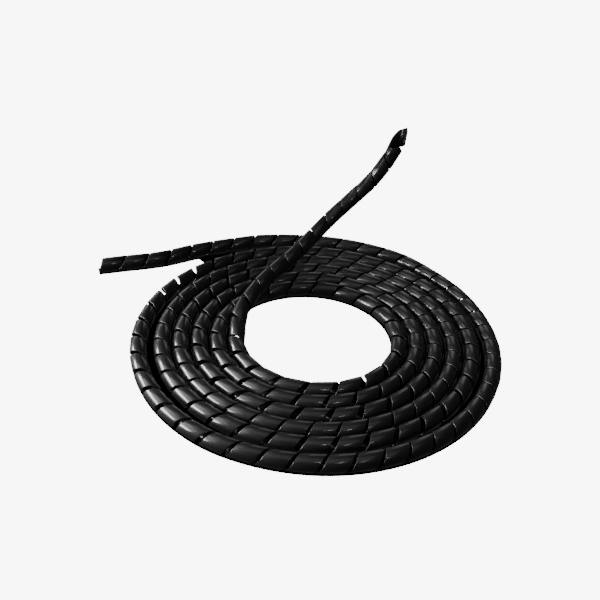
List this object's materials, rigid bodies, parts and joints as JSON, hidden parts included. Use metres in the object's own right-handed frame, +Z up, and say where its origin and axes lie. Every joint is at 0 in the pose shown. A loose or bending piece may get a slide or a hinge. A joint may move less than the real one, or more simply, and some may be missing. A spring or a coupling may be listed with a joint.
{
  "type": "spiral cable wrap",
  "caption": "Black spiral cable wrap: a helically slit plastic tube lying in a flat coil, its outer end on the floor and its inner end rising.",
  "frame": {"origin": "under the middle of the wrap's box, on the surface that it lies on", "axes": "+Z up out of the flat coil; the outer free end points along -X, so a cable goes into its mouth along +X; the coil runs clockwise and inwards seen from +Z"},
  "size_m": [0.235, 0.2406, 0.0984],
  "materials": {
    "wrap": "satin"
  },
  "bodies": {
    "root": {"spiral_wrap": "wrap"}
  },
  "joints": []
}
